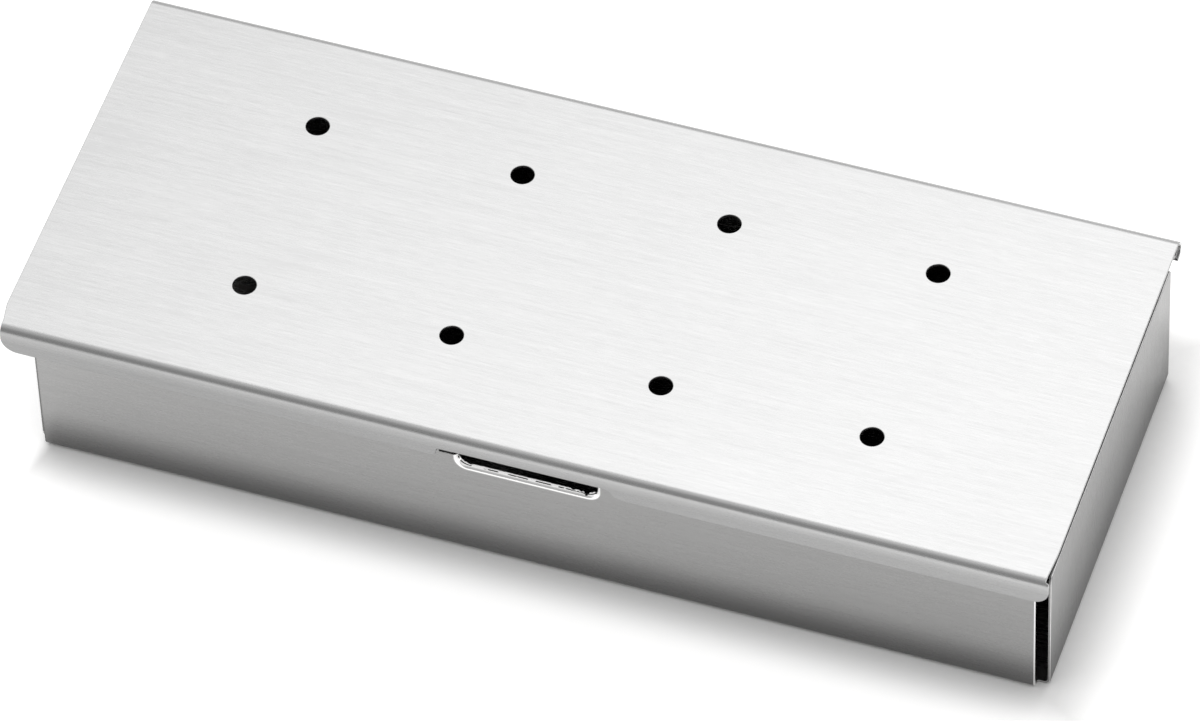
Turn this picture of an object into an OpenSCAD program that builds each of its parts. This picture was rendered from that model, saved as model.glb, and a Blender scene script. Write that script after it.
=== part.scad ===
// Smoker box for wood chips: a folded sheet tray, and a vented lid that hooks over the tray's rear rim.
// Lengths are millimetres. +X is to the right, +Y to the rear and +Z up.
// The origin is on the surface that the box stands on, under the middle of the closed box.

/* [Sheet] */
// Thickness of the stainless sheet of the lid and the tray
sheet_t = 1; // [0.8:0.1:1.2]
// Radius of the bends between the tray's floor and its walls, on the outside
floor_bend_r = 2.5; // [2:0.1:3]

/* [Lid] */
// Length of the lid, from end to end
lid_l = 330; // [300:1:360]
// Depth of the closed box, from the front flange to the back of the rear curl
box_d = 139; // [125:0.5:155]
// Height of the closed box
box_h = 53.5; // [45:0.5:65]
// Height of the lid's front flange
flange_h = 10; // [9:0.1:12]
// Outside radius of the bend between the lid's top and its front flange
flange_bend_r = 3; // [2:0.1:4]
// Radius of the flange's lower corners
flange_corner_r = 5.2; // [2:0.1:6]
// How far the flange stops short of the lid's ends, on average
flange_inset = 0.6; // [0.4:0.1:3]
// Share of that inset that the flange is shifted to the right by
flange_shift_share = 1; // [-1:0.1:1]

/* [Vents] */
// Diameter of the vent holes
vent_d = 7.3; // [5:0.1:12]
// Number of vent holes in each row
vent_columns = 4; // [3:1:4]
// Number of rows of vent holes
vent_rows = 2; // [1:1:2]
// Distance from hole to hole, along the rows and from row to row
vent_pitch = 66; // [40:1:70]
// How far the holes' pattern sits behind the middle of the box
vent_offset = 1.3; // [-3:0.1:3]

/* [Tray] */
// How much the lid overhangs each end of the tray when it sits in the middle
side_play = 5; // [3:0.1:8]
// Share of that play that the tray sits to the right by
play_share = 0.98; // [-0.98:0.02:0.98]
// How far the front and rear walls stop short of the outside of the end walls
wall_inset = 3.8; // [3.2:0.1:5]
// How much further than that the front wall reaches at its left end
front_reach = 2; // [0:0.1:2.2]
// How far the end walls start behind the front wall's face and stop short of the rear wall's
end_inset = 2.8; // [2.6:0.1:6]
// How far the rear wall stands in front of the lid's curl
rear_gap = 1.7; // [0.6:0.1:4]

/* [Finger notch] */
// Length of the notch in the front wall that a finger lifts the lid by
notch_l = 46.5; // [30:0.5:60]
// Depth of the notch below the top of the closed lid
notch_depth = 15; // [14:0.1:20]
// Radius of the notch's lower corners
notch_corner_r = 4.5; // [3:0.1:6]
// How far the notch sits to the left of the tray's middle
notch_offset = 2.1; // [-3:0.1:3]
// Depth of the lip that is drawn inwards round the notch, from the front wall's face
lip_depth = 1.7; // [1.5:0.1:3]
// Outside radius of the lip's bend
lip_bend_r = 1.5; // [1.3:0.1:1.8]
// How far the lip's bend turns, in degrees
lip_turn = 60; // [50:1:80]
// How far the relief in the flange's lower edge reaches past each end of the notch
relief_reach = 3.8; // [2:0.1:8]
// Height of that relief
relief_h = 3.6; // [2:0.1:4]
// Length of the sweep at each end of the relief
relief_sweep = 5.5; // [4:0.1:8]

/* [Hinge] */
// Outside radius of the lid's rear curl
curl_r = 3.5; // [3.3:0.1:4]
// How far the curl wraps under the rim, past its rearmost point, in degrees
curl_wrap = 95; // [60:1:97]

/* [Fits] */
// Gap between the lid and the tray's rear rim, under the lid's top and round the rolled bead
lid_gap = 0.3; // [0.2:0.05:0.4]
// Gap between the lid's underside and the rims of the end walls
end_gap = 1.2; // [0.3:0.1:1.5]
// Gap between the lid's front flange and the front wall
flange_gap = 0.3; // [0.2:0.05:0.6]
// Gap round the rod in the rolled rim
rod_gap = 0.05; // [0.02:0.01:0.1]

/* [Hidden] */
$fn = 96;

// Every cut runs past the face that it opens by this much
overrun = 1;
quarter = 90;

// Lid: its faces, its front flange and the middle of its rear curl, which is the hinge line
front_y = -box_d / 2;
hinge_y = box_d / 2 - curl_r;
hinge_z = box_h - curl_r;
flange_l = lid_l - 2 * flange_inset;
flange_x = flange_inset * flange_shift_share;
flange_bottom_z = box_h - flange_h;

// Tray: its outer faces, its rims and the rolled bead that the lid's curl turns on
tray_l = lid_l - 2 * side_play;
tray_x = side_play * play_share;
wall_l = tray_l - 2 * wall_inset;
wall_front_y = front_y + sheet_t + flange_gap;
wall_rear_y = hinge_y - curl_r - rear_gap;
end_rim_z = box_h - sheet_t - end_gap;
// The front wall is lower, to stay clear of the inside of the lid's front bend
front_rim_z = box_h - flange_bend_r;
bead_r = curl_r - sheet_t - lid_gap;
rod_r = bead_r - sheet_t - rod_gap;
neck_z = hinge_z + bead_r - sheet_t;
// The roll ends where its edge is still clear of the neck's underside by the lid's gap
roll_end = -2 * quarter - asin((bead_r - sheet_t - lid_gap) / bead_r);

// Finger notch, and the relief over it
notch_x = tray_x - notch_offset;
notch_z = box_h - notch_depth;
relief_l = notch_l + 2 * relief_reach;

// Part of a ring between two angles that are less than half a turn apart
module ring_part(outer_r, from, to) {
    reach = 2 * outer_r;
    middle = (from + to) / 2;
    intersection() {
        difference() {
            circle(r = outer_r);
            circle(r = outer_r - sheet_t);
        }
        polygon([
            [0, 0],
            reach * [cos(from), sin(from)],
            reach * [cos(middle), sin(middle)],
            reach * [cos(to), sin(to)]
        ]);
    }
}

// What a rounded corner takes away: a square at the origin, less the circle that rounds it
module corner_waste(r) {
    difference() {
        translate([-overrun, -overrun])
            square(r + overrun);
        translate([r, r])
            circle(r = r);
    }
}

// Stands a profile drawn in depth and height up, and runs it along the box's length
module run_along_x(length) {
    rotate([quarter, 0, quarter])
        linear_extrude(height = length, center = true)
            children();
}

// Runs a profile drawn in length and height from y = 0 towards the rear
module run_along_y(length) {
    translate([0, length, 0])
        rotate([quarter, 0, 0])
            linear_extrude(height = length)
                children();
}

// The lid's front flange and its bend, with the edge of the top that they join
module flange_section() {
    translate([front_y, flange_bottom_z])
        square([sheet_t, flange_h - flange_bend_r]);
    translate([front_y + flange_bend_r, box_h - flange_bend_r])
        ring_part(flange_bend_r, quarter, 2 * quarter);
    translate([front_y + flange_bend_r, box_h - sheet_t])
        square(sheet_t);
}

// The lid's top and its rear curl
module top_section() {
    translate([front_y + flange_bend_r, box_h - sheet_t])
        square([hinge_y - front_y - flange_bend_r, sheet_t]);
    translate([hinge_y, hinge_z]) {
        ring_part(curl_r, 0, quarter);
        ring_part(curl_r, -curl_wrap, 0);
    }
}

// Right half of the relief, from its middle: each end sweeps up in two equal arcs that meet halfway
module half_relief() {
    flat = (relief_l - relief_sweep) / 2;
    half_sweep = relief_sweep / 2;
    sweep_r = (relief_sweep * relief_sweep + relief_h * relief_h) / (4 * relief_h);
    translate([0, -overrun])
        square([flat, relief_h + overrun]);
    translate([flat, -overrun])
        square([half_sweep, relief_h / 2 + overrun]);
    intersection() {
        translate([flat, 0])
            square([half_sweep, relief_h]);
        translate([flat, relief_h - sweep_r])
            circle(r = sweep_r);
    }
    difference() {
        translate([flat + half_sweep, -overrun])
            square([half_sweep, relief_h / 2 + overrun]);
        translate([flat + relief_sweep, sweep_r])
            circle(r = sweep_r);
    }
}

// Everything that is cut from the flange, in length and height above its lower edge
module flange_cuts() {
    for (side = [0, 1]) {
        translate([flange_x, 0])
            mirror([side, 0])
                translate([-flange_l / 2, 0])
                    corner_waste(flange_corner_r);
        translate([notch_x, 0])
            mirror([side, 0])
                half_relief();
    }
}

module vent_holes() {
    for (column = [0 : vent_columns - 1], row = [0 : vent_rows - 1])
        translate([
            (column - (vent_columns - 1) / 2) * vent_pitch,
            (row - (vent_rows - 1) / 2) * vent_pitch + vent_offset,
            box_h - sheet_t - overrun
        ])
            cylinder(d = vent_d, h = sheet_t + 2 * overrun);
}

// Lid: one sheet, brushed along its length
module lid() {
    color("gainsboro") {
        difference() {
            run_along_x(lid_l)
                top_section();
            vent_holes();
        }
        difference() {
            translate([flange_x, 0, 0])
                run_along_x(flange_l)
                    flange_section();
            translate([0, front_y - overrun, flange_bottom_z])
                run_along_y(sheet_t + 2 * overrun)
                    flange_cuts();
        }
    }
}

// The tray's front wall and its bend, in depth and height
module front_section() {
    translate([wall_front_y, floor_bend_r])
        square([sheet_t, front_rim_z - floor_bend_r]);
    translate([wall_front_y + floor_bend_r, floor_bend_r])
        ring_part(floor_bend_r, 2 * quarter, 3 * quarter);
}

// The tray's floor and rear wall, in depth and height
module rear_section() {
    turn_y = wall_rear_y + sheet_t;
    turn_z = neck_z - sheet_t;
    // Floor
    translate([wall_front_y + floor_bend_r, 0])
        square([wall_rear_y - wall_front_y - 2 * floor_bend_r, sheet_t]);
    // Rear wall and its bend
    translate([wall_rear_y - floor_bend_r, floor_bend_r])
        ring_part(floor_bend_r, 3 * quarter, 4 * quarter);
    translate([wall_rear_y - sheet_t, floor_bend_r])
        square([sheet_t, turn_z - floor_bend_r]);
    // The rim turns out to the rear in a short neck, and rolls down and under into the bead
    translate([turn_y, turn_z])
        ring_part(2 * sheet_t, quarter, 2 * quarter);
    translate([turn_y, neck_z])
        square([hinge_y - turn_y, sheet_t]);
    translate([hinge_y, hinge_z]) {
        ring_part(bead_r, 0, quarter);
        ring_part(bead_r, -quarter, 0);
        ring_part(bead_r, roll_end, -quarter);
    }
}

// One end wall and its bend, with the strip of floor that they join, in length and height
module end_section() {
    end_x = tray_l / 2;
    strip_x = wall_l / 2 - sheet_t;
    translate([strip_x, 0])
        square([end_x - floor_bend_r - strip_x, sheet_t]);
    translate([end_x - floor_bend_r, floor_bend_r])
        ring_part(floor_bend_r, 3 * quarter, 4 * quarter);
    translate([end_x - sheet_t, floor_bend_r])
        square([sheet_t, end_rim_z - floor_bend_r]);
}

// The notch's outline in length and height, open at the top
module notch_outline() {
    difference() {
        translate([-notch_l / 2, 0])
            square([notch_l, notch_depth]);
        for (side = [0, 1])
            mirror([side, 0])
                translate([-notch_l / 2, 0])
                    corner_waste(notch_corner_r);
    }
}

// The lip's section: how far it closes the notch, and how deep it reaches from the wall's face
module lip_section() {
    bend_depth = lip_bend_r * (1 - cos(lip_turn));
    straight = (lip_depth - bend_depth) / sin(lip_turn);
    translate([0, lip_bend_r])
        rotate([0, 0, -quarter]) {
            ring_part(lip_bend_r, 0, lip_turn);
            rotate([0, 0, lip_turn])
                translate([lip_bend_r - sheet_t, 0])
                    square([sheet_t, straight]);
        }
}

// Left half of the lip, from the middle of the notch's lower edge to the rim
module half_lip() {
    corner_x = notch_corner_r - notch_l / 2;
    translate([corner_x, 0, 0])
        rotate([quarter, 0, quarter])
            linear_extrude(height = -corner_x)
                mirror([1, -1])
                    lip_section();
    translate([corner_x, 0, notch_corner_r])
        rotate([-quarter, 0, 0])
            rotate([0, 0, quarter])
                rotate_extrude(angle = quarter)
                    translate([notch_corner_r, 0])
                        mirror([1, 0])
                            lip_section();
    translate([-notch_l / 2, 0, notch_corner_r])
        linear_extrude(height = front_rim_z - notch_z - notch_corner_r)
            lip_section();
}

// Tray: one folded sheet with open corners, its front notch lipped and its rear rim rolled
module tray() {
    color("silver") {
        difference() {
            translate([tray_x - front_reach / 2, 0, 0])
                run_along_x(wall_l + front_reach)
                    front_section();
            translate([notch_x, wall_front_y - overrun, notch_z])
                run_along_y(sheet_t + 2 * overrun)
                    notch_outline();
        }
        translate([tray_x, 0, 0])
            run_along_x(wall_l)
                rear_section();
        for (side = [0, 1]) {
            translate([tray_x, wall_front_y + end_inset, 0])
                mirror([side, 0, 0])
                    run_along_y(wall_rear_y - wall_front_y - 2 * end_inset)
                        end_section();
            translate([notch_x, wall_front_y, notch_z])
                mirror([side, 0, 0])
                    half_lip();
        }
    }
}

// Rod inside the rolled rim, as long as the rim
module hinge_rod() {
    color("darkgray")
        translate([tray_x, hinge_y, hinge_z])
            rotate([0, quarter, 0])
                cylinder(r = rod_r, h = wall_l, center = true);
}

tray();
lid();
hinge_rod();
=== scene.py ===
import math
from typing import NamedTuple

import bpy
import numpy as np
from mathutils import Matrix, Vector
from mathutils.geometry import delaunay_2d_cdt


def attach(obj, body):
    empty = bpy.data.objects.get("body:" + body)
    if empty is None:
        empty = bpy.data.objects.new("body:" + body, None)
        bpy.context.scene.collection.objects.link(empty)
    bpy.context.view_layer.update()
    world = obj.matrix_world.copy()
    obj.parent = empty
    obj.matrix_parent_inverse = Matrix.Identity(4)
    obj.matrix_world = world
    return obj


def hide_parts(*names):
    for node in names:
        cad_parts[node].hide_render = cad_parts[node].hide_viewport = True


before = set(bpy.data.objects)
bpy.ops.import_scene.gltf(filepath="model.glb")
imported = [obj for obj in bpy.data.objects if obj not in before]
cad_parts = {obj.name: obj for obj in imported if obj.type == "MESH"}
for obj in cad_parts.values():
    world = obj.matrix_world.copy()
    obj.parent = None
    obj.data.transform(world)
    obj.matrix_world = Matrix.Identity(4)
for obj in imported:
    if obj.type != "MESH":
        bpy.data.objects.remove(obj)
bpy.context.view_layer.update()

MM = 0.001
QUARTER = math.pi / 2

# Sheet, and the rows of points round its cut edge: the angle from the outer face, and the centre's depth
SHEET = 1.0
EDGE_R = 0.2
EDGE_ROWS = [(a, EDGE_R) for a in (30, 60, 90)] + [(a, SHEET - EDGE_R) for a in (90, 120, 150)]

# Mesh: the steps round a bend and along a straight part
BEND_STEP = math.radians(9)
GRID = 9.0
STEP_SLACK = 0.01

# Mesh: how near counts as the same, and how far a sharp corner's rounding may reach
NEAR = 0.001
NEAR_ARC = 0.02
NEAR_AREA = 1e-6
WELD = 1e-5
DECIMALS = 4
MITRE_LIMIT = 0.3

# Lid, in section
LID_L = 330.0
BOX_D = 139.0
BOX_H = 53.5
FLANGE_H = 10.0
FLANGE_BEND_R = 3.0
CURL_R = 3.5
CURL_WRAP = math.radians(95)
HINGE_Y = BOX_D / 2 - CURL_R
HINGE_Z = BOX_H - CURL_R

# Lid, on the flat sheet. Its right edge steps in after the curl and nicks in at the front bend, and its left
# edge sweeps in between two lengths before that bend
CURL_CORNER_R = 0.4
CURL_FULL = CURL_R * (CURL_WRAP + 1)
PLATE_RIGHT = 164.6
PLATE_STEP = 1.0
NICK = 0.7
NICK_LEAD = 9.0
NICK_AFTER_BEND = 2.1
NICK_H = 0.6
NICK_LEAD_R = 2.0
NICK_R = 0.2
NICK_CORNER_R = 0.15
FLANGE_LEFT = -163.8
FLANGE_RIGHT = 165.0
FLANGE_CORNER_R = 5.2
LEFT_SWEEP = (0.5, 7.0)
LEFT_SWEEP_R = 3.0
VENT_R = 3.65
VENT_SIDES = 48
VENT_PITCH = 66.0
VENT_OFFSET = 1.3

# Tray, in section
TRAY_X = 4.9
WALL_L = 312.4
TRAY_L = 320.0
FLOOR_BEND_R = 2.5
WALL_FRONT_Y = -68.2
WALL_REAR_Y = 60.8
END_RIM_Z = 51.3
FRONT_RIM_Z = 50.5
BEAD_R = 2.2
ROLL_TURN = math.radians(90 + 204.1)

# Tray, on the flat sheet
FRONT_REACH = 2.0
FRONT_RIGHT = 160.8
END_INSET = 2.8
BEAD_REACH = 3.0
BEAD_FROM = 0.6
ROOT_R = 0.1
FRONT_CORNER_R = 0.5
FRONT_FOOT_R = 0.3
END_CORNER_R = 1.2
BEAD_CORNER_R = 0.3

# Finger notch, its lip, and the slit at its upper left corner
NOTCH_X = 2.8
NOTCH_L = 46.5
NOTCH_Z = 38.5
NOTCH_R = 4.5
LIP_GRID = 0.4
LIP_R = 1.5
LIP_TURN = math.radians(60)
LIP_DEPTH = 1.7
LIP_BEND_STEPS = 6
LIP_STRAIGHT_STEPS = 8
SLIT_L = 4.4
SLIT_TOP = 45.2
SLIT_FOOT = 44.3
SLIT_R = 0.2

# The lip's ragged edge: the share of its straight part that is left, its waves, and tears (x, width, depth)
LIP_SHARE = 0.95
WAVE = 0.05
WAVE_TURNS = (2.9, 1.3)
WAVE_SHIFT = 1
TEARS = ((16.9, 0.7, 0.6), (19.4, 0.6, 0.5), (21.2, 1.1, 1.2), (-15.5, 1.4, 0.3))

# Relief in the lid's flange, over the notch
RELIEF_L = 54.1
RELIEF_H = 3.6
RELIEF_SWEEP = 5.5
SWEEP_STEPS = 6
RELIEF_LEFT = 27.8
RELIEF_LEFT_SLOPE = 0.8
RELIEF_LEFT_R = 0.7

# Polished strips, which also carry a painted highlight: how bright and how wide each is, and where the mesh
# has lines for them
CURL_POLISH_HIGHLIGHT = 0.5
CURL_POLISH_HIGHLIGHT_L = 0.2
CURL_LINE = 0.3
FRONT_POLISH_HIGHLIGHT = 0.8
FRONT_POLISH_HIGHLIGHT_L = 0.4
FRONT_POLISH_HIGHLIGHT_FOOT = 1
FRONT_LINES = (0.35, 0.5)
LIP_POLISH_HIGHLIGHT_RISE = 3
DASH_BAND = (0.2, 0.4)


class Profile:
    """The outer face of a folded sheet in section: straight runs and bends, with the face on their right."""

    def __init__(self, start, heading):
        self.runs = []
        self.point = np.array(start, float)
        self.heading = heading
        self.length = 0.0

    def _add(self, length, curvature):
        self.runs.append((self.length, length, self.point, self.heading, curvature))
        self.length += length
        self.point, self.heading = self._place(self.runs[-1], length)
        return self

    def line(self, length):
        return self._add(length, 0.0)

    def bend(self, radius, turn):
        """A positive turn goes to the left, which leaves the outer face on the outside of the bend."""
        return self._add(abs(radius * turn), math.copysign(1 / radius, turn))

    @staticmethod
    def _place(run, along):
        _, _, point, heading, k = run
        if k == 0:
            step = np.array((math.cos(heading), math.sin(heading))) * along
            return point + step, heading
        turned = heading + k * along
        step = np.array((math.sin(turned) - math.sin(heading), math.cos(heading) - math.cos(turned))) / k
        return point + step, turned

    def at(self, s):
        """Point, outward normal and direction at a length along the profile."""
        run = next((r for r in self.runs if s < r[0] + r[1]), self.runs[-1])
        point, heading = self._place(run, s - run[0])
        tangent = np.array((math.cos(heading), math.sin(heading)))
        return point, np.array((tangent[1], -tangent[0])), tangent

    def stations(self):
        """Lengths along the profile at which the mesh has a line."""
        found = []
        for start, length, _, _, k in self.runs:
            step = BEND_STEP / abs(k) if k else GRID
            count = max(1, math.ceil(length / step - STEP_SLACK))
            found += [start + length * i / count for i in range(count)]
        return found[1:]


def rounded(corners):
    """A closed outline from corners (x, y, radius)."""
    made = []
    for i, (x, y, radius) in enumerate(corners):
        here = np.array((x, y), float)
        if radius == 0:
            made.append(here)
        else:
            back = np.array(corners[i - 1][:2], float) - here
            ahead = np.array(corners[(i + 1) % len(corners)][:2], float) - here
            made += corner_arc(here, back, ahead, radius)
    return made


def corner_arc(here, back, ahead, radius):
    """Points on the arc that rounds a corner. back and ahead point to the corners before and after it."""
    back, ahead = back / np.linalg.norm(back), ahead / np.linalg.norm(ahead)
    opening = math.acos(np.clip(back @ ahead, -1, 1))
    middle = (back + ahead) / np.linalg.norm(back + ahead)
    centre = here + middle * radius / math.sin(opening / 2)
    reach = radius / math.tan(opening / 2)
    first, last = here + back * reach - centre, here + ahead * reach - centre
    a0, a1 = math.atan2(first[1], first[0]), math.atan2(last[1], last[0])
    turn = (a1 - a0 + math.pi) % (2 * math.pi) - math.pi
    count = max(3, math.ceil(abs(turn) / BEND_STEP))
    angles = (a0 + turn * j / count for j in range(count + 1))
    return [centre + radius * np.array((math.cos(a), math.sin(a))) for a in angles]


def inside(points, outline):
    """Which points lie in a closed outline."""
    x, y = points[:, 0], points[:, 1]
    odd = np.zeros(len(points), bool)
    ends = np.array(outline)
    for (x0, y0), (x1, y1) in zip(ends, np.roll(ends, -1, axis=0)):
        crosses = (y0 > y) != (y1 > y)
        if y0 != y1:
            odd ^= crosses & (x < (x1 - x0) * (y - y0) / (y1 - y0) + x0)
    return odd


def blank(outline, holes, x_lines, y_lines):
    """Flat mesh of a cut sheet: its points, and its faces as quads where the grid allows."""
    points, edges = [], []
    for loop in [outline, *holes]:
        first = len(points)
        points += [Vector(p) for p in loop]
        edges += [(first + i, first + (i + 1) % len(loop)) for i in range(len(loop))]
    low, high = np.min(outline, axis=0) - 1, np.max(outline, axis=0) + 1
    lines = [((x, low[1]), (x, high[1])) for x in x_lines] + [((low[0], y), (high[0], y)) for y in y_lines]
    for start, end in lines:
        edges.append((len(points), len(points) + 1))
        points += [Vector(start), Vector(end)]
    verts, _, faces, *_ = delaunay_2d_cdt(points, edges, [], 0, WELD, False)
    flat = np.round([tuple(v) for v in verts], DECIMALS)
    faces = np.array([list(f) for f in faces])
    centres = flat[faces].mean(axis=1)
    kept = inside(centres, outline)
    for hole in holes:
        kept &= ~inside(centres, hole)
    a, b, c = (flat[faces[:, i]] for i in range(3))
    turned = np.cross(b - a, c - a) < 0
    faces[turned] = faces[turned][:, ::-1]
    faces = paired(flat, faces[kept])
    used = sorted({i for f in faces for i in f})
    number = {old: new for new, old in enumerate(used)}
    return flat[used], [[number[i] for i in f] for f in faces]


def paired(flat, faces):
    """Joins two triangles that share a rectangle's diagonal into one quad."""
    halves = {}
    made = []
    for f in faces:
        corners = flat[f]
        low, high = corners.min(axis=0), corners.max(axis=0)
        (ax, ay), (bx, by) = corners[1] - corners[0], corners[2] - corners[0]
        if abs(abs(ax * by - ay * bx) - (high - low).prod()) > NEAR_AREA:
            made.append(list(f))
            continue
        key = tuple(np.round([*low, *high], DECIMALS))
        other = halves.pop(key, None)
        if other is None:
            halves[key] = f
            continue
        ring = {*f, *other}
        if len(ring) != 4:
            made += [list(f), list(other)]
            continue
        middle = flat[list(ring)].mean(axis=0)
        made.append(sorted(ring, key=lambda i: math.atan2(*(flat[i] - middle)[::-1])))
    return made + [list(f) for f in halves.values()]


class Sheet:
    """A folded sheet: place, normal, grain, flat place, and polish with its painted highlight, at each point
    of its outer face.
    """

    def __init__(self, flat, faces, fold):
        self.flat = [np.array((*p, 0.0)) for p in flat]
        self.faces = faces
        self.points, self.normals, self.grain = map(list, zip(*(fold(*p) for p in flat)))
        self.polish_highlight = [0.0] * len(self.points)
        self.face_outwards()

    def add(self, point, normal, grain, flat, polish_highlight):
        """Adds a point and returns its number."""
        self.points.append(point)
        self.normals.append(normal)
        self.grain.append(grain)
        self.flat.append(np.array((*flat, 0.0)))
        self.polish_highlight.append(polish_highlight)
        return len(self.points) - 1

    def face_outwards(self):
        """Turns all faces over if they face inwards."""
        p, n = np.array(self.points), np.array(self.normals)
        facing = sum(np.cross(p[f[1]] - p[f[0]], p[f[-1]] - p[f[0]]) @ n[f[0]] for f in self.faces)
        if facing < 0:
            self.faces = [f[::-1] for f in self.faces]

    def rim(self):
        """Directed edges with a face on one side only, and the outward direction at each of their points."""
        once = {}
        for f in self.faces:
            for i, j in zip(f, f[1:] + f[:1]):
                if once.pop((j, i), None) is None:
                    once[(i, j)] = True
        p, n = np.array(self.points), np.array(self.normals)
        sides = {}
        for i, j in once:
            out = np.cross(p[j] - p[i], n[i] + n[j])
            out /= np.linalg.norm(out)
            sides.setdefault(i, []).append(out)
            sides.setdefault(j, []).append(out)
        outward = {i: (a + b) / max(MITRE_LIMIT, 1 + a @ b) for i, (a, b) in sides.items()}
        return list(once), outward

    def mesh(self, name):
        """Thickens the sheet, rounds its cut edges a little, and makes the Blender object."""
        edges, outward = self.rim()
        order = np.array(sorted(outward))
        return self.blender_object(name, self.layers(outward, order), self.closed_faces(edges, order))

    def layers(self, outward, order):
        """The outer face, the inner face and the rows round the cut edge.

        Each holds the numbers of the sheet's points that it follows, its places, its normals and its depth.
        """
        p, n = np.array(self.points, float), np.array(self.normals, float)
        every = np.arange(len(p))
        out = np.zeros((len(p), 3))
        for i, direction in outward.items():
            out[i] = direction
        outer = p - EDGE_R * out
        unit = out[order] / np.linalg.norm(out[order], axis=1)[:, None]
        made = [(every, outer, n, 0.0), (every, outer - SHEET * n, -n, SHEET)]
        for degrees, down in EDGE_ROWS:
            c, s = math.cos(math.radians(degrees)), math.sin(math.radians(degrees))
            core = outer[order] - down * n[order]
            round_edge = core + EDGE_R * (c * n[order] + s * out[order])
            made.append((order, round_edge, c * n[order] + s * unit, down - EDGE_R * c))
        return made

    def closed_faces(self, edges, order):
        """The faces of both sides, and the strips between the rows round the cut edge."""
        count = len(self.points)
        place = {i: k for k, i in enumerate(order)}
        rows = [order]
        rows += [2 * count + k * len(order) + np.arange(len(order)) for k in range(len(EDGE_ROWS))]
        rows.append(order + count)
        made = [list(f) for f in self.faces] + [[i + count for i in reversed(f)] for f in self.faces]
        for i, j in edges:
            a, b = place[i], place[j]
            made += [[upper[b], upper[a], lower[a], lower[b]] for upper, lower in zip(rows, rows[1:])]
        return [[int(i) for i in f] for f in made]

    def blender_object(self, name, layers, faces):
        """The object, with what its material reads: flat place, depth, the way across the grain, polish with
        its painted highlight.
        """
        owner = np.concatenate([which for which, _, _, _ in layers])
        places = np.concatenate([p for _, p, _, _ in layers])
        normals = np.concatenate([n for _, _, n, _ in layers])
        flat = np.array(self.flat, float)[owner]
        flat[:, 2] = np.concatenate([np.full(len(which), down) for which, _, _, down in layers])
        data = bpy.data.meshes.new(name)
        data.from_pydata((places * MM).tolist(), [], faces)
        data.shade_smooth()
        data.normals_split_custom_set_from_vertices(normals.tolist())
        write_vectors(data, "flat", flat * MM)
        write_vectors(data, "across", np.cross(normals, np.array(self.grain, float)[owner]))
        polish_highlight = np.array(self.polish_highlight)[owner]
        data.attributes.new("polish_highlight", "FLOAT", "POINT").data.foreach_set("value", polish_highlight)
        return placed(bpy.data.objects.new(name, data))


def write_vectors(data, name, values):
    attribute = data.attributes.new(name, "FLOAT_VECTOR", "POINT")
    attribute.data.foreach_set("vector", np.asarray(values, np.float32).ravel())


def placed(made):
    """Puts a new object into the scene and returns it."""
    bpy.context.scene.collection.objects.link(made)
    return made


def lines_between(low, high, step):
    """Evenly spaced places between two ends, without the ends."""
    count = max(1, round((high - low) / step))
    return [low + (high - low) * i / count for i in range(1, count)]


def lid_outline(top_end, total):
    """The lid's blank, from the curl's edge to the flange's lower edge, with the relief and its corners.

    top_end is where the plate ends and its front bend begins, and total is the flange's lower edge.
    """
    half = LID_L / 2
    left_end = NOTCH_X - RELIEF_LEFT
    level = (RELIEF_L - RELIEF_SWEEP) / 2
    nick = top_end + NICK_AFTER_BEND
    return rounded([
        (-half, 0, CURL_CORNER_R), (half, 0, CURL_CORNER_R), (half, CURL_FULL, PLATE_STEP),
        (PLATE_RIGHT, CURL_FULL + PLATE_STEP, PLATE_STEP), (PLATE_RIGHT, top_end - NICK_LEAD, NICK_LEAD_R),
        (PLATE_RIGHT - NICK, nick, NICK_R), (FLANGE_RIGHT, nick + NICK_H, NICK_CORNER_R),
        (FLANGE_RIGHT, total, FLANGE_CORNER_R),
        *((NOTCH_X + x, s, 0) for x, s in reversed(sweep(level, total))),
        (left_end, total - RELIEF_H, RELIEF_LEFT_R), (left_end - RELIEF_LEFT_SLOPE, total, RELIEF_LEFT_R),
        (FLANGE_LEFT, total, FLANGE_CORNER_R), (FLANGE_LEFT, top_end - LEFT_SWEEP[0], LEFT_SWEEP_R),
        (-half, top_end - LEFT_SWEEP[1], LEFT_SWEEP_R),
    ])


def sweep(level, total):
    """The relief's right end, from its upper level down to the flange's edge, as two equal arcs."""
    radius = (RELIEF_SWEEP ** 2 + RELIEF_H ** 2) / (4 * RELIEF_H)
    turn = math.asin(RELIEF_SWEEP / 2 / radius)
    angles = [turn * i / SWEEP_STEPS for i in range(SWEEP_STEPS + 1)]
    made = [(level + radius * math.sin(a), total - RELIEF_H + radius * (1 - math.cos(a))) for a in angles]
    made += [(level + RELIEF_SWEEP - radius * math.sin(a), total - radius * (1 - math.cos(a)))
             for a in reversed(angles[:-1])]
    return made


def vent(x, s):
    """The outline of a vent hole."""
    angles = (2 * math.pi * i / VENT_SIDES for i in range(VENT_SIDES))
    return [np.array((x + VENT_R * math.cos(a), s + VENT_R * math.sin(a))) for a in angles]


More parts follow.
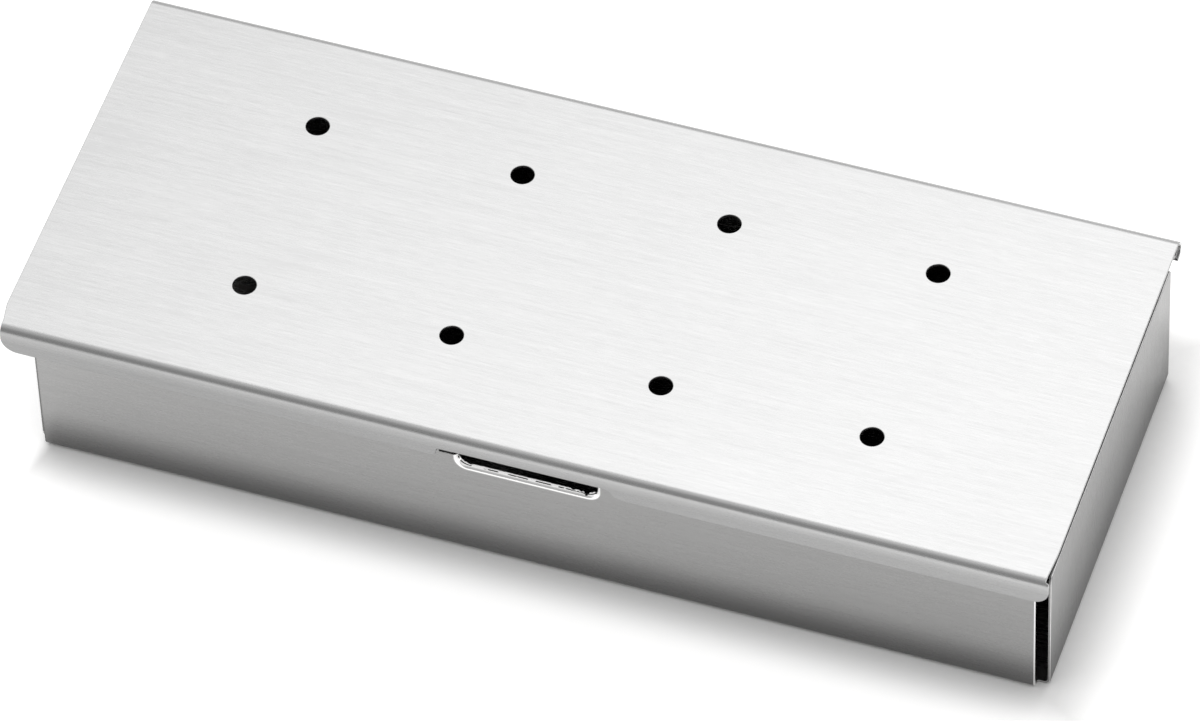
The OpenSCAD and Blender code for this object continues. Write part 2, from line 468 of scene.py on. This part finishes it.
def lid_sheet():
    """The lid: curl, plate, front bend and flange."""
    profile = Profile((HINGE_Y + CURL_R * math.cos(CURL_WRAP), HINGE_Z - CURL_R * math.sin(CURL_WRAP)),
                      QUARTER - CURL_WRAP)
    profile.bend(CURL_R, CURL_WRAP + QUARTER)
    top_start = profile.length
    profile.line(HINGE_Y + BOX_D / 2 - FLANGE_BEND_R)
    top_end = profile.length
    profile.bend(FLANGE_BEND_R, QUARTER).line(FLANGE_H - FLANGE_BEND_R)

    def fold(x, s):
        (y, z), (ny, nz), _ = profile.at(s)
        return np.array((x, y, z)), np.array((0, ny, nz)), np.array((1.0, 0, 0))

    middle = top_start + HINGE_Y - VENT_OFFSET
    holes = [vent((column - 1.5) * VENT_PITCH, middle - (row - 0.5) * VENT_PITCH)
             for column in range(4) for row in range(2)]
    end = LID_L / 2
    x_lines = lines_between(-end, end, GRID) + [end - CURL_LINE]
    flat, faces = blank(lid_outline(top_end, profile.length), holes, x_lines, profile.stations())
    sheet = Sheet(flat, faces, fold)
    # The curl's end is polished and carries a painted highlight
    sheet.polish_highlight = [CURL_POLISH_HIGHLIGHT if x > end - CURL_POLISH_HIGHLIGHT_L and s < top_start else 0.0 for x, s in flat]
    return sheet


def tray_profiles():
    """The sections through front wall, floor and rear wall, and through one end wall."""
    side = Profile((WALL_FRONT_Y, FRONT_RIM_Z), -QUARTER)
    side.line(FRONT_RIM_Z - FLOOR_BEND_R).bend(FLOOR_BEND_R, QUARTER)
    floor_start = side.length
    side.line(WALL_REAR_Y - WALL_FRONT_Y - 2 * FLOOR_BEND_R)
    floor_end = side.length
    neck_z = HINGE_Z + BEAD_R - SHEET
    side.bend(FLOOR_BEND_R, QUARTER).line(neck_z - SHEET - FLOOR_BEND_R)
    side.bend(SHEET, -QUARTER).line(HINGE_Y - WALL_REAR_Y - SHEET)
    roll_start = side.length
    side.bend(BEAD_R - SHEET, -ROLL_TURN)
    end = Profile((WALL_L / 2, 0), 0.0)
    end.line(TRAY_L / 2 - FLOOR_BEND_R - WALL_L / 2).bend(FLOOR_BEND_R, QUARTER)
    end.line(END_RIM_Z - FLOOR_BEND_R)
    return side, (floor_start, floor_end, roll_start), end


def notch_corners():
    """The finger notch in the front wall's rim, from left to right, with the slit at its upper left."""
    left, right = NOTCH_X - NOTCH_L / 2, NOTCH_X + NOTCH_L / 2
    bottom = FRONT_RIM_Z - NOTCH_Z
    slit_top, slit_foot = FRONT_RIM_Z - SLIT_TOP, FRONT_RIM_Z - SLIT_FOOT
    along = lines_between(left + NOTCH_R, right - NOTCH_R, LIP_GRID)
    return [
        (left, 0, 0), (left, slit_top, SLIT_R), (left - SLIT_L, slit_top, SLIT_R),
        (left - SLIT_L, slit_foot, SLIT_R), (left, slit_foot, 0), (left, bottom, NOTCH_R),
        *((x, bottom, 0) for x in along),
        (right, bottom, NOTCH_R), (right, 0, 0),
    ]


def tray_outline(folds, total, reach):
    """The tray's blank, with its end walls folded out flat.

    total is the edge of the roll, and reach is an end wall's length on the blank.
    """
    floor_start, floor_end, roll_start = folds
    left, right = TRAY_X - WALL_L / 2, TRAY_X + WALL_L / 2
    front = left - FRONT_REACH
    ahead = floor_start + END_INSET - FLOOR_BEND_R
    behind = floor_end - END_INSET + FLOOR_BEND_R
    bead = roll_start + BEAD_FROM
    return rounded([
        (front, 0, FRONT_CORNER_R), *notch_corners(), (FRONT_RIGHT, 0, FRONT_CORNER_R),
        (FRONT_RIGHT, floor_start, ROOT_R), (right, floor_start + ROOT_R, ROOT_R), (right, ahead, ROOT_R),
        (right + reach, ahead, END_CORNER_R), (right + reach, behind, END_CORNER_R),
        (right, behind, ROOT_R), (right, bead, ROOT_R), (right + BEAD_REACH, bead, BEAD_CORNER_R),
        (right + BEAD_REACH, total, BEAD_CORNER_R), (left, total, BEAD_CORNER_R),
        (left, behind, ROOT_R), (left - reach, behind, END_CORNER_R), (left - reach, ahead, END_CORNER_R),
        (left, ahead, ROOT_R), (left, floor_start, ROOT_R), (front, floor_start, FRONT_FOOT_R),
    ])


def tray_sheet():
    """The tray: floor, four walls, the notch with its lip, and the rear rim rolled into a bead."""
    side, folds, end = tray_profiles()
    floor_start, _, roll_start = folds
    left, right = TRAY_X - WALL_L / 2, TRAY_X + WALL_L / 2

    def fold(x, s):
        (y, z), (ny, nz), _ = side.at(s)
        if left - NEAR <= x <= right + NEAR or s <= floor_start + NEAR or s >= roll_start - NEAR:
            return np.array((x, y, z)), np.array((0, ny, nz)), np.array((1.0, 0, 0))
        hand = 1 if x > right else -1
        (a, z), (na, nz), (ta, tz) = end.at(hand * (x - TRAY_X) - WALL_L / 2)
        normal, grain = np.array((hand * na, 0, nz)), np.array((ta, 0, hand * tz))
        return np.array((TRAY_X + hand * a, y, z)), normal, grain

    ends = end.stations()
    x_lines = lines_between(left, right, GRID) + [right + s for s in ends] + [left - s for s in ends]
    x_lines += [FRONT_RIGHT - line for line in FRONT_LINES]
    outline = tray_outline(folds, side.length, end.length)
    flat, faces = blank(outline, [], x_lines, side.stations())
    sheet = Sheet(flat, faces, fold)
    # The front wall's right end is polished and carries a painted highlight
    strip, foot = FRONT_RIGHT - FRONT_POLISH_HIGHLIGHT_L, floor_start - FRONT_POLISH_HIGHLIGHT_FOOT
    sheet.polish_highlight = [FRONT_POLISH_HIGHLIGHT if x > strip and s < foot else 0.0 for x, s in flat]
    add_lip(sheet)
    return sheet


def notch_inward(x, s):
    """The direction from a point of the notch's outline towards the notch, in x and height."""
    corner_x = NOTCH_L / 2 - NOTCH_R
    corner_s = FRONT_RIM_Z - NOTCH_Z - NOTCH_R
    dx = x - NOTCH_X
    if abs(dx) > corner_x and s > corner_s:
        away = np.array((dx - math.copysign(corner_x, dx), -(s - corner_s)))
        return -away / np.linalg.norm(away)
    if s > corner_s:
        return np.array((0.0, 1.0))
    return np.array((-math.copysign(1.0, dx), 0.0))


def on_notch(x, s):
    """Whether a point of the rim lies on the notch's outline, below the slit."""
    bottom = FRONT_RIM_Z - NOTCH_Z
    dx = abs(x - NOTCH_X)
    if s > bottom + NEAR or dx > NOTCH_L / 2 + NEAR:
        return False
    if x < NOTCH_X and s < FRONT_RIM_Z - SLIT_FOOT - NEAR:
        return False
    corner = np.array((dx - (NOTCH_L / 2 - NOTCH_R), s - (bottom - NOTCH_R)))
    if corner.min() > 0:
        return abs(np.linalg.norm(corner) - NOTCH_R) < NEAR_ARC
    return abs(dx - NOTCH_L / 2) < NEAR or abs(s - bottom) < NEAR


def notch_chain(sheet):
    """The numbers of the notch's points, in order along it."""
    on = [on_notch(x, s) for x, s, _ in sheet.flat]
    edges, _ = sheet.rim()
    links = {i: j for i, j in edges if on[i] and on[j]}
    ends = set(links.values())
    chain = [next(i for i in links if i not in ends)]
    while chain[-1] in links:
        chain.append(links[chain[-1]])
    return chain


def add_lip(sheet):
    """The notch's edge, drawn inwards round a small bend to a short straight lip, which is polished and
    carries a painted highlight.
    """
    straight = (LIP_DEPTH - LIP_R * (1 - math.cos(LIP_TURN))) / math.sin(LIP_TURN)
    steps = [(LIP_TURN * k / LIP_BEND_STEPS, 0.0) for k in range(1, LIP_BEND_STEPS + 1)]
    steps += [(LIP_TURN, k / LIP_STRAIGHT_STEPS) for k in range(1, LIP_STRAIGHT_STEPS + 1)]
    columns = []
    for i in notch_chain(sheet):
        x, s, _ = sheet.flat[i]
        inward = notch_inward(x, s)
        base = sheet.points[i]
        reach = straight * ragged(x)
        column = [lip_point(sheet, base, (x, s), inward, a, share, reach) for a, share in steps]
        columns.append([i] + column)
    for a, b in zip(columns, columns[1:]):
        for k in range(len(a) - 1):
            sheet.faces.append([b[k], a[k], a[k + 1], b[k + 1]])


def lip_point(sheet, base, flat, inward, a, share, reach):
    """Adds a point of the lip, at an angle of its bend or at a share of its straight part's reach."""
    towards = np.array((inward[0], 0, inward[1]))
    along = np.cross(towards, (0, 1.0, 0))
    going = towards * math.cos(a) + np.array((0, math.sin(a), 0))
    deep = reach * share
    point = base + towards * LIP_R * math.sin(a) + going * deep
    point = point + np.array((0, LIP_R * (1 - math.cos(a)), 0))
    normal = towards * math.sin(a) - np.array((0, math.cos(a), 0))
    grain = towards[0] * going + along[0] * along
    length = LIP_R * a + deep
    place = (flat[0] + inward[0] * length, flat[1] - inward[1] * length)
    dashed = 1.0 if DASH_BAND[0] < share < DASH_BAND[1] else 0.0
    # The lip's polish carries a painted highlight
    return sheet.add(point, normal, grain, place, min(1.0, LIP_POLISH_HIGHLIGHT_RISE * a / LIP_TURN) + dashed)


def ragged(x):
    """How much of the lip's straight part is left at a place: its sheared edge is wavy, with a few tears."""
    share = LIP_SHARE + WAVE * math.sin(WAVE_TURNS[0] * x) * math.sin(WAVE_TURNS[1] * x + WAVE_SHIFT)
    for place, width, depth in TEARS:
        share -= depth * max(0.0, 1 - abs(x - place) / width)
    return share


class Nodes:
    """Short calls to build the nodes of a material or of a world."""

    def __init__(self, owner):
        owner.use_nodes = True
        self.tree = owner.node_tree
        self.shader = self.tree.nodes.get("Principled BSDF")

    def node(self, kind, **settings):
        made = self.tree.nodes.new("ShaderNode" + kind)
        for key, value in settings.items():
            setattr(made, key, value)
        return made

    def feed(self, socket, value):
        """Links a socket to another one, or gives it a plain value."""
        if isinstance(value, bpy.types.NodeSocket):
            self.tree.links.new(value, socket)
        else:
            socket.default_value = value

    def set(self, **values):
        """Feeds the shader's inputs by their names, with _ for a space."""
        for name, value in values.items():
            self.feed(self.shader.inputs[name.replace("_", " ")], value)

    def math(self, operation, *values):
        made = self.node("Math", operation=operation)
        for socket, value in zip(made.inputs, values):
            self.feed(socket, value)
        return made.outputs[0]

    def scaled(self, vector, scale):
        made = self.node("VectorMath", operation="MULTIPLY")
        self.feed(made.inputs[0], vector)
        made.inputs[1].default_value = scale
        return made.outputs[0]

    def parts(self, vector):
        """The three parts of a vector."""
        made = self.node("SeparateXYZ")
        self.feed(made.inputs[0], vector)
        return made.outputs

    def noise(self, vector, scale, detail=2.0, roughness=0.5):
        """Noise from 0 to 1, with that many features per metre in each direction."""
        made = self.node("TexNoise", noise_dimensions="3D")
        self.feed(made.inputs["Vector"], self.scaled(vector, scale))
        made.inputs["Scale"].default_value = 1.0
        made.inputs["Detail"].default_value = detail
        made.inputs["Roughness"].default_value = roughness
        return made.outputs["Fac"]

    def remap(self, value, low, high, to_low, to_high, smooth=False):
        made = self.node("MapRange", interpolation_type="SMOOTHSTEP" if smooth else "LINEAR")
        for socket, number in zip(made.inputs, (value, low, high, to_low, to_high)):
            self.feed(socket, number)
        return made.outputs[0]

    def spread(self, noise, to_low, to_high):
        """Takes a noise from its usual range to another one."""
        return self.remap(noise, 0.3, 0.7, to_low, to_high)

    def mix(self, share, a, b):
        made = self.node("Mix", data_type="FLOAT")
        for socket, value in zip((made.inputs[0], *made.inputs[2:4]), (share, a, b)):
            self.feed(socket, value)
        return made.outputs[0]

    def grey(self, value, tint):
        """A colour from a grey value and a tint."""
        made = self.node("CombineColor")
        for socket, share in zip(made.inputs, tint):
            self.feed(socket, self.math("MULTIPLY", value, share))
        return made.outputs[0]

    def bump(self, height, distance):
        """Relief on the shader's normal, with its height in metres."""
        made = self.node("Bump")
        made.inputs["Strength"].default_value = 1.0
        made.inputs["Distance"].default_value = distance
        self.feed(made.inputs["Height"], height)
        self.feed(self.shader.inputs["Normal"], made.outputs[0])


# Noises on the flat sheet: features per metre, detail and roughness
FINE = ((170, 3300, 0), 3.0, 0.7)
MEDIUM = ((40, 1100, 0), 2.0)
LONG = ((9, 330, 0), 2.0)
GRAIN_SHARES = (0.55, 0.3, 0.15)
CLOUD = ((14, 26, 0), 3.0, 0.6)
SHEAR = ((900, 900, 0), 2.0)
DASHES = ((330, 330, 0), 2.0)

# Tones of the faces. The rise is painted light and shade: RISE_SLANT turns the direction in which the tone
# rises, from RISE_FROM to RISE_TO
GRAIN_TONE = 0.06
CLOUD_TONE = 0.015
# The inner face is painted lighter by this share: painted light inside the box
INNER_PAINTED_LIGHT = 1.35
OUTER_DEPTHS = (0.05, 0.2)
RISE_SLANT = 0.7
RISE_FROM, RISE_TO = -140, 190

# Tones of the cut edges: those at the far left are painted dark as shade, and the rounded borders carry a
# painted highlight
# Cut edges left of this are painted dark, as shade
SHADED_LEFT = -157.0
CUT_FADE = 0.3
HIGHLIGHT_FROM = 1.2
HIGHLIGHT_TO = 0.02
BURNISHED = (0.7, 0.9)
BROKEN_SPREAD = 0.3
BREAK_BLUR = 0.1
# The tone of the cut edges' rounded borders: a painted highlight
EDGE_HIGHLIGHT_TONE = 0.92
HIGHLIGHT_ON_BURNISHED, HIGHLIGHT_ON_BROKEN = 0.85, 0.1

# Polished strips with a painted highlight, and the dashes along the lip, which lie where the polish is above
# 1
POLISH_HIGHLIGHT_TONE = 0.96
DASH_TONE = 0.03
DASH_NOISE = (0.5, 0.54)
DASH_POLISH = (1.05, 1.3)

# Roughness
GRAIN_ROUGHNESS = (0.31, 0.23)
CLOUD_ROUGHNESS = 0.02
CUT_ROUGHNESS = 0.42
POLISHED_ROUGHNESS = 0.16
GRAIN_RELIEF = 0.000012
WIRE_RELIEF = 0.00001
ANISOTROPY = 0.6


class Look(NamedTuple):
    """How a steel sheet looks, in shares of a tone.

    The outer face has painted shade low down: it has foot_share of its tone up to foot, and all of it from
    full on.
    What lies more than ends from the tray's middle on the flat sheet, the end walls, has painted shade:
    end_foot of its tone at the floor and end_top at twice the height of full. rise is the share at the rear
    left and at the front right, a painted rise of light and shade across the sheet. The outer part of a cut
    edge, down to burnish, is bright from the punch. The rest of it is a dull break, of the tone
    break_and_shade, which is also painted dark as the shade in the gaps under the lid's edges. Lengths are
    millimetres.
    """

    base: float
    tint: tuple
    foot: float
    full: float
    foot_share: float
    burnish: float
    break_and_shade: float
    ends: float = 500
    end_top: float = 1.0
    end_foot: float = 1.0
    rise: tuple = (1.0, 1.0)


# The tray's base tone is lower than the lid's, as painted shade on the tray's walls
TRAY_LOOK = Look(base=0.34, tint=(1.0, 0.995, 0.99), foot=3, full=20, foot_share=0.57, burnish=0.25,
                 break_and_shade=0.18, ends=158, end_top=0.88, end_foot=0.38, rise=(1.0, 0.88))
LID_LOOK = Look(base=0.45, tint=(1.0, 1.0, 1.0), foot=47, full=52.5, foot_share=0.78, burnish=0.2,
                break_and_shade=0.06, rise=(0.88, 1.045))


class Steel(Nodes):
    """Stainless sheet with sheared edges and a fine brushed grain that follows the blank round its bends."""

    def __init__(self, material, look):
        super().__init__(material)
        self.look = look
        self.flat = self.attribute("flat", "Vector")
        self.x, self.s, self.depth = self.parts(self.flat)[:3]
        self.height = self.parts(self.node("TexCoord").outputs["Object"])[2]
        self.polish_highlight = self.attribute("polish_highlight", "Fac")
        self.grain = self.brushed_grain()
        self.cloud = self.noise(self.flat, *CLOUD)
        self.shear = self.noise(self.flat, *SHEAR)
        self.cut, self.edge_highlight = self.edge_masks()

    def attribute(self, name, output):
        return self.node("Attribute", attribute_name=name).outputs[output]

    def brushed_grain(self):
        fine, medium, long = (self.noise(self.flat, *kind) for kind in (FINE, MEDIUM, LONG))
        fine_share, medium_share, long_share = GRAIN_SHARES
        coarse = self.math("ADD", self.math("MULTIPLY", medium, medium_share),
                           self.math("MULTIPLY", long, long_share))
        return self.math("ADD", self.math("MULTIPLY", fine, fine_share), coarse)

    def edge_masks(self):
        """1 on the cut edge, and 1 on its two rounded borders, which carry a painted highlight."""
        half = SHEET / 2
        middle = self.math("ABSOLUTE", self.math("SUBTRACT", self.depth, half * MM))
        cut_to = half - EDGE_R * (1 + CUT_FADE)
        cut = self.remap(middle, (half - EDGE_R) * MM, cut_to * MM, 0.0, 1.0, True)
        edge_highlight = self.remap(middle, (half - EDGE_R * HIGHLIGHT_FROM) * MM, (half - HIGHLIGHT_TO) * MM, 1.0, 0.0, True)
        return cut, edge_highlight

    def face_tone(self):
        """The tone of both faces: grain and clouds, then painted shade at the foot and on the end walls, the
        inner face painted lighter, and a painted rise of light and shade along the sheet.
        """
        look = self.look
        tone = self.spread(self.grain, look.base * (1 - GRAIN_TONE), look.base * (1 + GRAIN_TONE))
        tone = self.math("MULTIPLY", tone, self.spread(self.cloud, 1 - CLOUD_TONE, 1 + CLOUD_TONE))
        outer = self.remap(self.depth, OUTER_DEPTHS[0] * MM, OUTER_DEPTHS[1] * MM, 1.0, 0.0)
        # Painted shade: the outer face is darker low down
        low = self.remap(self.height, look.foot * MM, look.full * MM, 1.0, 0.0, True)
        shade = self.mix(self.math("MULTIPLY", outer, low), 1.0, look.foot_share)
        tone = self.math("MULTIPLY", tone, shade)
        # Painted shade on the end walls
        tone = self.math("MULTIPLY", tone, self.mix(self.beyond_ends(outer), 1.0, self.end_share()))
        # Painted light: the inner face is lighter than the outer one
        tone = self.math("MULTIPLY", tone, self.mix(outer, INNER_PAINTED_LIGHT, 1.0))
        # A painted rise of light and shade along the sheet
        slanted = self.math("ADD", self.x, self.math("MULTIPLY", self.s, RISE_SLANT))
        return self.math("MULTIPLY", tone, self.remap(slanted, RISE_FROM * MM, RISE_TO * MM, *look.rise))

    def beyond_ends(self, outer):
        across = self.math("ABSOLUTE", self.math("SUBTRACT", self.x, TRAY_X * MM))
        return self.math("MULTIPLY", self.math("GREATER_THAN", across, self.look.ends * MM), outer)

    # The end walls' share of their tone: painted shade, darker towards the floor
    def end_share(self):
        look = self.look
        return self.remap(self.height, 0.0, 2 * look.full * MM, look.end_foot, look.end_top)

    def with_edges(self, tone):
        """Adds the cut edges: a burnished part, a broken part whose tone is partly painted shade, and
        borders with a painted highlight; at the left, all are painted dark as shade.
        """
        look = self.look
        torn = self.remap(self.depth, look.burnish * MM, (look.burnish + BREAK_BLUR) * MM, 0.0, 1.0, True)
        # The break's tone is partly the fracture's own dullness and partly painted shade, darkest on the lid
        darker, brighter = look.break_and_shade * (1 - BROKEN_SPREAD), look.break_and_shade * (1 + BROKEN_SPREAD)
        break_and_shade = self.spread(self.shear, darker, brighter)
        # Painted shade: the cut edges at the far left are dark
        shaded_left = self.math("LESS_THAN", self.x, SHADED_LEFT * MM)
        torn = self.math("MAXIMUM", torn, shaded_left)
        tone = self.mix(self.cut, tone, self.mix(torn, self.spread(self.shear, *BURNISHED), break_and_shade))
        # Painted highlight on the cut edge's rounded borders
        edge_highlight = self.math("MULTIPLY", self.edge_highlight, self.mix(torn, HIGHLIGHT_ON_BURNISHED, HIGHLIGHT_ON_BROKEN))
        tone = self.mix(edge_highlight, tone, EDGE_HIGHLIGHT_TONE)
        # There the borders too are painted dark as shade
        edge = self.math("MAXIMUM", self.edge_highlight, self.cut)
        return self.mix(self.math("MULTIPLY", shaded_left, edge), tone, look.break_and_shade)

    def with_polish_highlight(self, tone):
        """Adds the polished strips' painted highlight, and the dark broken line along the lip."""
        # Painted highlight on the polished strips
        tone = self.mix(self.polish_highlight, tone, POLISH_HIGHLIGHT_TONE)
        dash = self.remap(self.noise(self.flat, *DASHES), *DASH_NOISE, 1.0, 0.0, True)
        dash = self.math("MULTIPLY", dash, self.remap(self.polish_highlight, *DASH_POLISH, 0.0, 1.0, True))
        return self.mix(dash, tone, DASH_TONE)

    def roughness(self):
        rough = self.spread(self.grain, *GRAIN_ROUGHNESS)
        rough = self.math("ADD", rough, self.spread(self.cloud, -CLOUD_ROUGHNESS, CLOUD_ROUGHNESS))
        return self.mix(self.polish_highlight, self.mix(self.cut, rough, CUT_ROUGHNESS), POLISHED_ROUGHNESS)

    def tangent(self):
        turn = self.node("VectorTransform", vector_type="NORMAL", convert_from="OBJECT", convert_to="WORLD")
        self.feed(turn.inputs[0], self.attribute("across", "Vector"))
        return turn.outputs[0]


def brushed_steel(name, look):
    steel = bpy.data.materials.new(name)
    m = Steel(steel, look)
    tone = m.with_polish_highlight(m.with_edges(m.face_tone()))
    m.set(Base_Color=m.grey(tone, look.tint), Roughness=m.roughness(), Metallic=1.0,
          Anisotropic=ANISOTROPY, Tangent=m.tangent())
    m.bump(m.mix(m.cut, m.grain, m.shear), GRAIN_RELIEF)
    return steel


def drawn_wire(name):
    """Satin drawn wire, with fine lines along it."""
    steel = bpy.data.materials.new(name)
    m = Nodes(steel)
    place = m.node("TexCoord").outputs["Object"]
    lines = m.noise(place, (30, 3200, 3200))
    spots = m.noise(place, (500, 500, 500))
    m.set(Base_Color=m.grey(m.spread(lines, 0.44, 0.56), (1, 0.99, 0.98)),
          Roughness=m.spread(spots, 0.3, 0.42), Metallic=1.0)
    m.bump(lines, WIRE_RELIEF)
    return steel


def dress():
    """Builds the pieces and puts them on their bodies."""
    tray_steel = brushed_steel("tray_steel", TRAY_LOOK)
    lid_steel = brushed_steel("lid_steel", LID_LOOK)
    rod_steel = drawn_wire("rod_steel")
    for sheet, name, body, steel in ((tray_sheet(), "tray_sheet", "tray", tray_steel),
                                     (lid_sheet(), "lid_sheet", "lid", lid_steel)):
        piece = sheet.mesh(name)
        piece.data.materials.append(steel)
        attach(piece, body)
        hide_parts(body)
    for node, material in (("tray", tray_steel), ("lid", lid_steel), ("hinge_rod", rod_steel)):
        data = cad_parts[node].data
        data.materials.clear()
        data.materials.append(material)


# Floor, in metres where it isn't a share. Its glow starts under the box's edge and is whole at GLOW_TO
FLOOR_HALF = 6.0
GLOW = 0.43
GLOW_FROM, GLOW_TO = -0.002, 0.016
BESIDE_SHARE = 0.65
LEFT_SHARE = 3.0


def floor():
    """A white floor that holds the shadow, and shows as white to the camera and in the steel."""
    data = bpy.data.meshes.new("floor")
    corners = [(x * FLOOR_HALF, y * FLOOR_HALF, 0) for x, y in ((-1, -1), (1, -1), (1, 1), (-1, 1))]
    data.from_pydata(corners, [], [(0, 1, 2, 3)])
    made = placed(bpy.data.objects.new("floor", data))
    white = bpy.data.materials.new("floor_white")
    m = Nodes(white)
    place = m.node("TexCoord").outputs["Object"]
    speck = m.spread(m.noise(place, (300, 300, 300), 3.0), 0.9, 0.92)
    path = m.node("LightPath").outputs
    through = m.math("ADD", path["Is Glossy Ray"], path["Is Transmission Ray"])
    seen = m.math("ADD", path["Is Camera Ray"], through)
    near = m.remap(away_from_box(m, place), GLOW_FROM, GLOW_TO, 0.0, GLOW, True)
    glow = m.math("MULTIPLY", near, m.math("MINIMUM", seen, 1.0))
    m.set(Base_Color=m.grey(speck, (1, 0.997, 0.992)), Emission_Color=(1, 1, 1, 1), Emission_Strength=glow,
          Roughness=0.8, Specular_IOR_Level=0.1)
    data.materials.append(white)


def away_from_box(m, place):
    """How far a floor place lies from the box. It counts more at the left, where the shadow is short."""
    x, y = m.parts(place)[:2]
    beside = m.math("SUBTRACT", m.math("ABSOLUTE", x), LID_L / 2 * MM)
    before = m.math("SUBTRACT", m.math("ABSOLUTE", y), BOX_D / 2 * MM)
    away = m.math("MAXIMUM", m.math("MULTIPLY", beside, BESIDE_SHARE), before)
    left = m.math("SUBTRACT", m.math("MULTIPLY", x, -1.0), (WALL_L / 2 - TRAY_X) * MM)
    return m.math("MAXIMUM", away, m.math("MULTIPLY", left, LEFT_SHARE))


# Light, in metres. The tent's tones are shares of white
SOFT_BOX_AT = (-0.1, 0.95, 1.75)
SOFT_BOX_SIZE = (1.5, 1.8)
SOFT_BOX_RADIANCE = 1.2
BRIGHT_SIDE = (-0.5, 0.1, 0.85)
TENT_TONES = (0.5, 1.0)
OPENING = (-0.22, -0.88, 0.42)
OPENING_TONE = 0.5
OPENING_WIDE = math.radians(46)
OPENING_NARROW = math.radians(10)


def soft_box():
    """A soft box that faces the smoker box. The camera doesn't see it."""
    data = bpy.data.lights.new("soft_box", "AREA")
    data.shape = "RECTANGLE"
    width, depth = SOFT_BOX_SIZE
    data.size, data.size_y = width, depth
    data.energy = SOFT_BOX_RADIANCE * math.pi * width * depth
    made = placed(bpy.data.objects.new("soft_box", data))
    made.location = SOFT_BOX_AT
    made.rotation_mode = "QUATERNION"
    made.rotation_quaternion = (-Vector(SOFT_BOX_AT)).to_track_quat("-Z", "Y")
    made.visible_camera = False


def studio():
    """A light tent, brighter above and to the left, with a soft box above and behind.

    The tent has a dim opening where the photographer stands, low in front.
    """
    soft_box()
    world = bpy.data.worlds.new("tent")
    bpy.context.scene.world = world
    m = Nodes(world)
    direction = m.node("TexCoord").outputs["Generated"]

    def towards(vector):
        made = m.node("VectorMath", operation="DOT_PRODUCT")
        m.feed(made.inputs[0], direction)
        made.inputs[1].default_value = Vector(vector).normalized()
        return made.outputs["Value"]

    level = m.remap(towards(BRIGHT_SIDE), -1.0, 1.0, *TENT_TONES)
    wide, narrow = math.cos(OPENING_WIDE), math.cos(OPENING_NARROW)
    opening = m.remap(towards(OPENING), wide, narrow, 1.0, OPENING_TONE, True)
    m.feed(m.tree.nodes["Background"].inputs[0], m.math("MULTIPLY", level, opening))
    bpy.context.scene.view_settings.view_transform = "Standard"


# Camera: its place in millimetres, and the directions to its right, up and back
CAMERA_AT = (678.5, -1815.8, 2377.6)
CAMERA_TURN = ((0.94795, 0.31721, -0.02758), (-0.22878, 0.7388, 0.63391), (0.22146, -0.5946, 0.77292))
SENSOR = 36
FOCAL = 301.98
CLIP_END = 20


def camera():
    """The photograph's view: a long lens from the front right and above."""
    data = bpy.data.cameras.new("camera")
    data.sensor_width = SENSOR
    data.lens = FOCAL
    data.clip_end = CLIP_END
    made = placed(bpy.data.objects.new("camera", data))
    turn = Matrix(CAMERA_TURN).transposed().to_4x4()
    made.matrix_world = Matrix.Translation(Vector(CAMERA_AT) * MM) @ turn
    bpy.context.scene.camera = made


camera()
studio()
floor()
dress()
